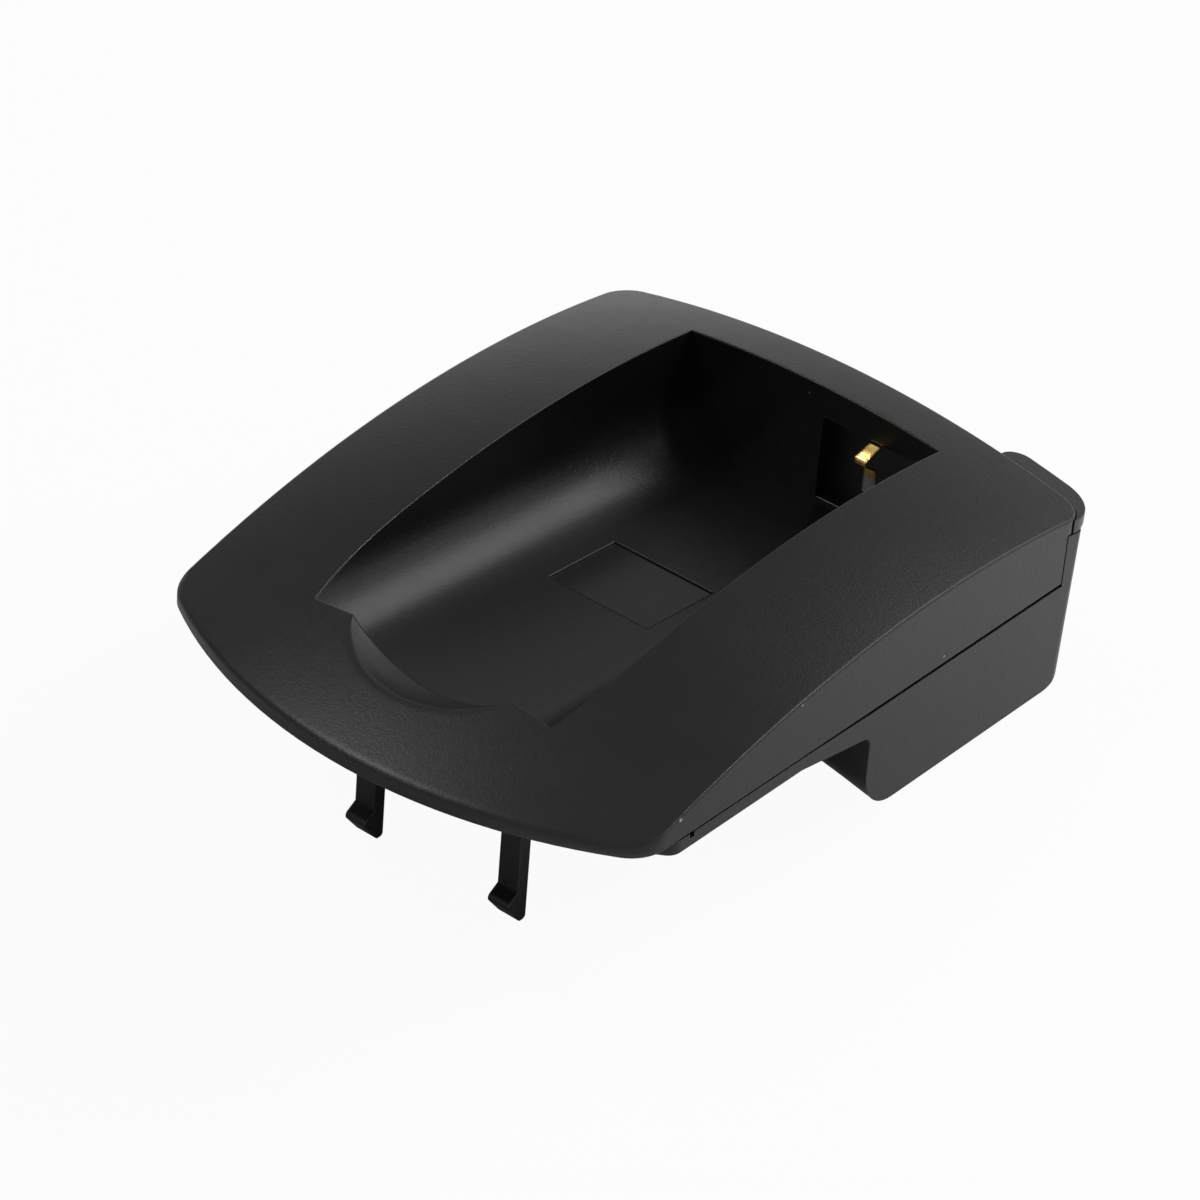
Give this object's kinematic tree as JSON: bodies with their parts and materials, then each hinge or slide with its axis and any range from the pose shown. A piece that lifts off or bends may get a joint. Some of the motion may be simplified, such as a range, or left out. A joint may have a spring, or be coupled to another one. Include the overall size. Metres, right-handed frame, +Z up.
{
  "type": "battery charging plate",
  "caption": "Black plug-in charging plate with a crowned top, a sloping battery bay with rounded sides and a thumb scoop, spring contacts in the rear wall and snap hooks underneath.",
  "frame": {"origin": "under the middle of the plate, at the height of the hook tips", "axes": "+X across the plate to the side with the pull lip, +Y from the front lip to the rear wall, +Z up out of the battery bay"},
  "size_m": [0.0732, 0.0962, 0.04],
  "materials": {
    "case_plastic": "fine-grained matte moulding",
    "contact_gold": "gold plated, worn",
    "board": "solder mask",
    "terminal_metal": "gold plated",
    "screw_steel": "zinc plated"
  },
  "bodies": {
    "root": {"top_cover": "case_plastic", "lower_shell": "case_plastic", "contact_springs": "contact_gold", "circuit_board": "board", "base_terminals": "terminal_metal", "case_screws": "screw_steel"}
  },
  "joints": []
}
